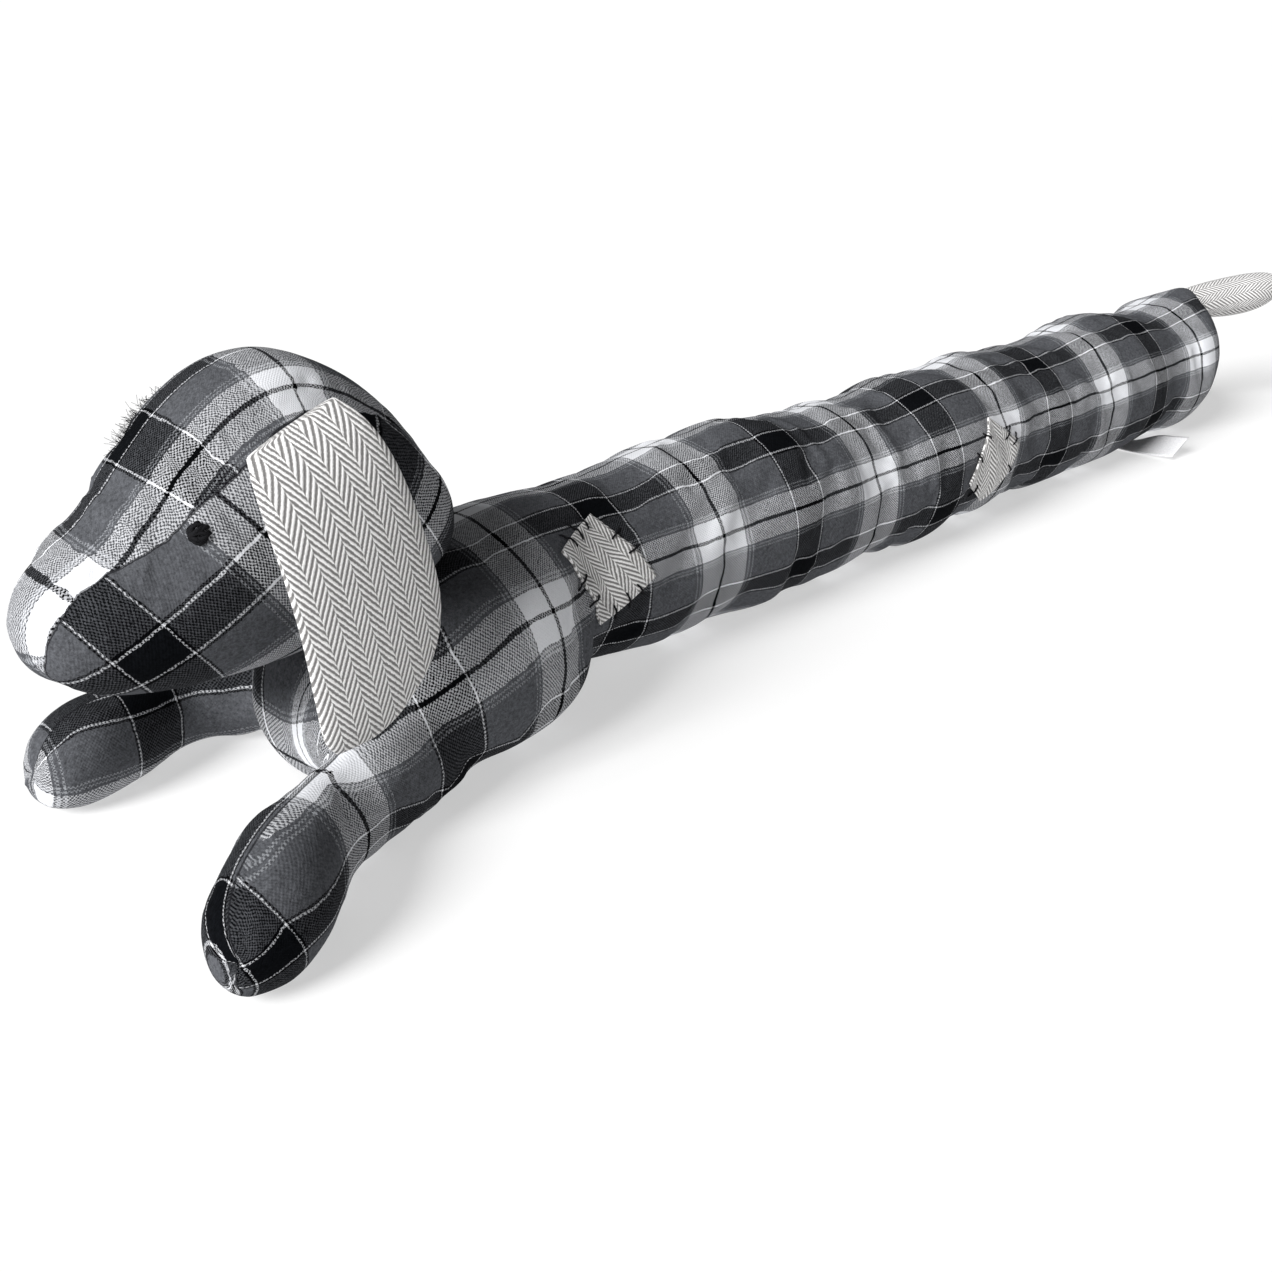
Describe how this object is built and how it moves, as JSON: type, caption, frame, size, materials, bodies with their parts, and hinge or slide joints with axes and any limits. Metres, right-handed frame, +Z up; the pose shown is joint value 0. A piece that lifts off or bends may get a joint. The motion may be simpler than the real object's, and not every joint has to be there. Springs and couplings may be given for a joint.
{
  "type": "dog-shaped draught excluder",
  "caption": "Long stuffed cloth tube in the shape of a lying dog, laid along the foot of a door to stop draughts, with head, hanging ears, front legs and tail.",
  "frame": {"origin": "on the flat underside of the tube, halfway along the dog and on the tube's middle line", "axes": "+X runs from the head to the tail, +Z is up off the floor, and -Y is the dog's left side, the one with the patches"},
  "size_m": [0.9882, 0.2147, 0.197],
  "materials": {
    "check_cloth": "brushed woven wool-look check in black, charcoal, mid grey and white",
    "herringbone_cloth": "woven herringbone in warm light grey and mid grey",
    "black_yarn": "knotted black cotton yarn",
    "label_tape": "smooth white woven tape, blank"
  },
  "bodies": {
    "root": {"body": "check_cloth", "head": "check_cloth", "ear_left": "herringbone_cloth", "ear_right": "herringbone_cloth", "tail": "herringbone_cloth", "patch_shoulder": "herringbone_cloth", "patch_back": "herringbone_cloth", "eye_left": "black_yarn", "eye_right": "black_yarn", "care_label": "label_tape"}
  },
  "joints": []
}
